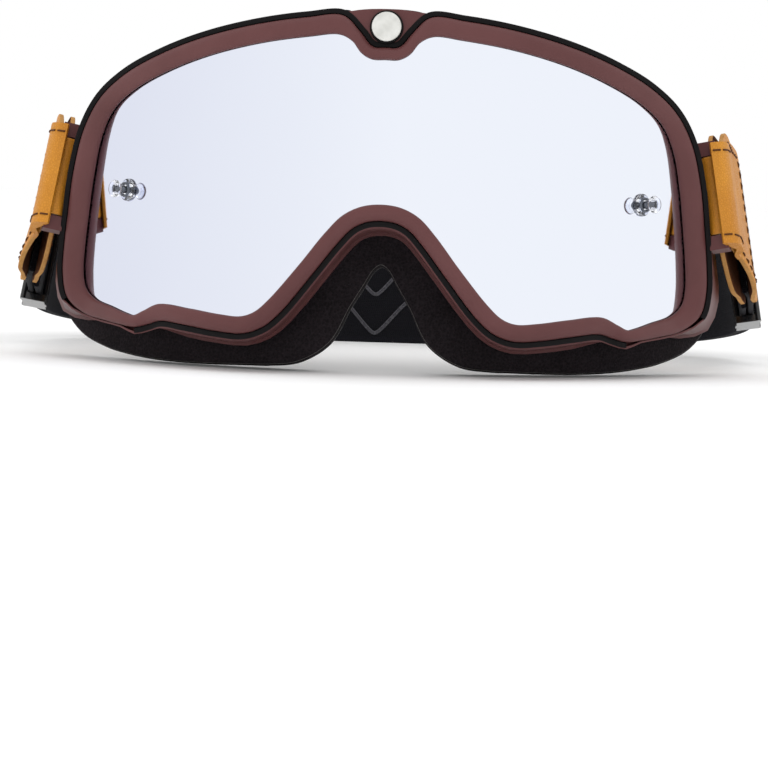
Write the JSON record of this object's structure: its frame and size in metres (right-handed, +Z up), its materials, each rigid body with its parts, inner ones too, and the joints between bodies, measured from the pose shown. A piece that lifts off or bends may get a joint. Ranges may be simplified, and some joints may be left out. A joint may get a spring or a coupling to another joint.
{
  "type": "motorcycle goggles",
  "caption": "Retro motorcycle goggles: curved mirror lens in a moulded frame with face foam, hinged leather tabs and an elastic head strap with sliders.",
  "frame": {"origin": "middle of the box's underside, on the surface the goggles stand on", "axes": "+Z up, -Y the way the lens faces, +X the viewer's right when looking at the lens"},
  "size_m": [0.225, 0.1908, 0.098],
  "materials": {
    "frame_brown": "satin moulded",
    "bezel_brown": "satin moulded",
    "black_rubber": "matt",
    "mirror_lens": "silver mirror coating on the front",
    "clear_plastic": "clear",
    "satin_steel": "satin",
    "face_foam": "open-cell foam",
    "fleece": "brushed fleece",
    "filter_foam": "coarse filter foam",
    "leather": "grained, mustard",
    "webbing": "woven elastic",
    "gloss_black": "gloss"
  },
  "bodies": {
    "frame": {"main_frame": "frame_brown", "front_bezel": "bezel_brown", "bezel_seal_upper": "black_rubber", "bezel_seal_lower": "black_rubber", "lens": "mirror_lens", "lens_gasket": "black_rubber", "tearoff_post_right": "clear_plastic", "tearoff_post_left": "clear_plastic", "post_washer_right": "black_rubber", "post_washer_left": "black_rubber", "badge_ring": "black_rubber", "badge_stud": "satin_steel", "foam_base": "face_foam", "foam_face": "fleece", "vent_foam_inner_right": "filter_foam", "vent_foam_inner_left": "filter_foam", "vent_foam_outer_right": "filter_foam", "vent_foam_outer_left": "filter_foam", "strap_bar_right": "satin_steel", "strap_bar_left": "satin_steel", "strap_side_right": "webbing", "strap_side_left": "webbing", "strap_tail_right": "webbing", "strap_tail_left": "webbing"},
    "tab_right": {"leather_tab_right": "leather"},
    "tab_left": {"leather_tab_left": "leather"},
    "strap_back": {"strap_rear": "webbing"},
    "slider_right": {"slider_right": "gloss_black"},
    "slider_left": {"slider_left": "gloss_black"}
  },
  "joints": [
    {"name": "tab_right_swing", "type": "hinge", "parent": "frame", "child": "tab_right", "pos_m": [0.09116, -0.04239, 0.05016], "axis": [0.1501, -0.2265, -0.9624], "range_deg": [-2, 18], "deforming": ["strap_side_right", "strap_tail_right"]},
    {"name": "tab_left_swing", "type": "hinge", "parent": "frame", "child": "tab_left", "pos_m": [-0.09116, -0.04239, 0.05016], "axis": [0.1501, 0.2265, 0.9624], "range_deg": [-2, 18], "deforming": ["strap_side_left", "strap_tail_left"]},
    {"name": "strap_stretch", "type": "slide", "parent": "frame", "child": "strap_back", "axis": [0, 1, 0], "range_m": [0, 0.03], "stiffness_N_per_m": 150, "deforming": ["strap_side_right", "strap_tail_right", "strap_side_left", "strap_tail_left"]},
    {"name": "slider_right_slide", "type": "slide", "parent": "frame", "child": "slider_right", "axis": [0.0868, 0.9724, -0.2167], "range_m": [-0.008, 0.008]},
    {"name": "slider_left_slide", "type": "slide", "parent": "frame", "child": "slider_left", "axis": [-0.0868, 0.9724, -0.2167], "range_m": [-0.008, 0.008]}
  ]
}
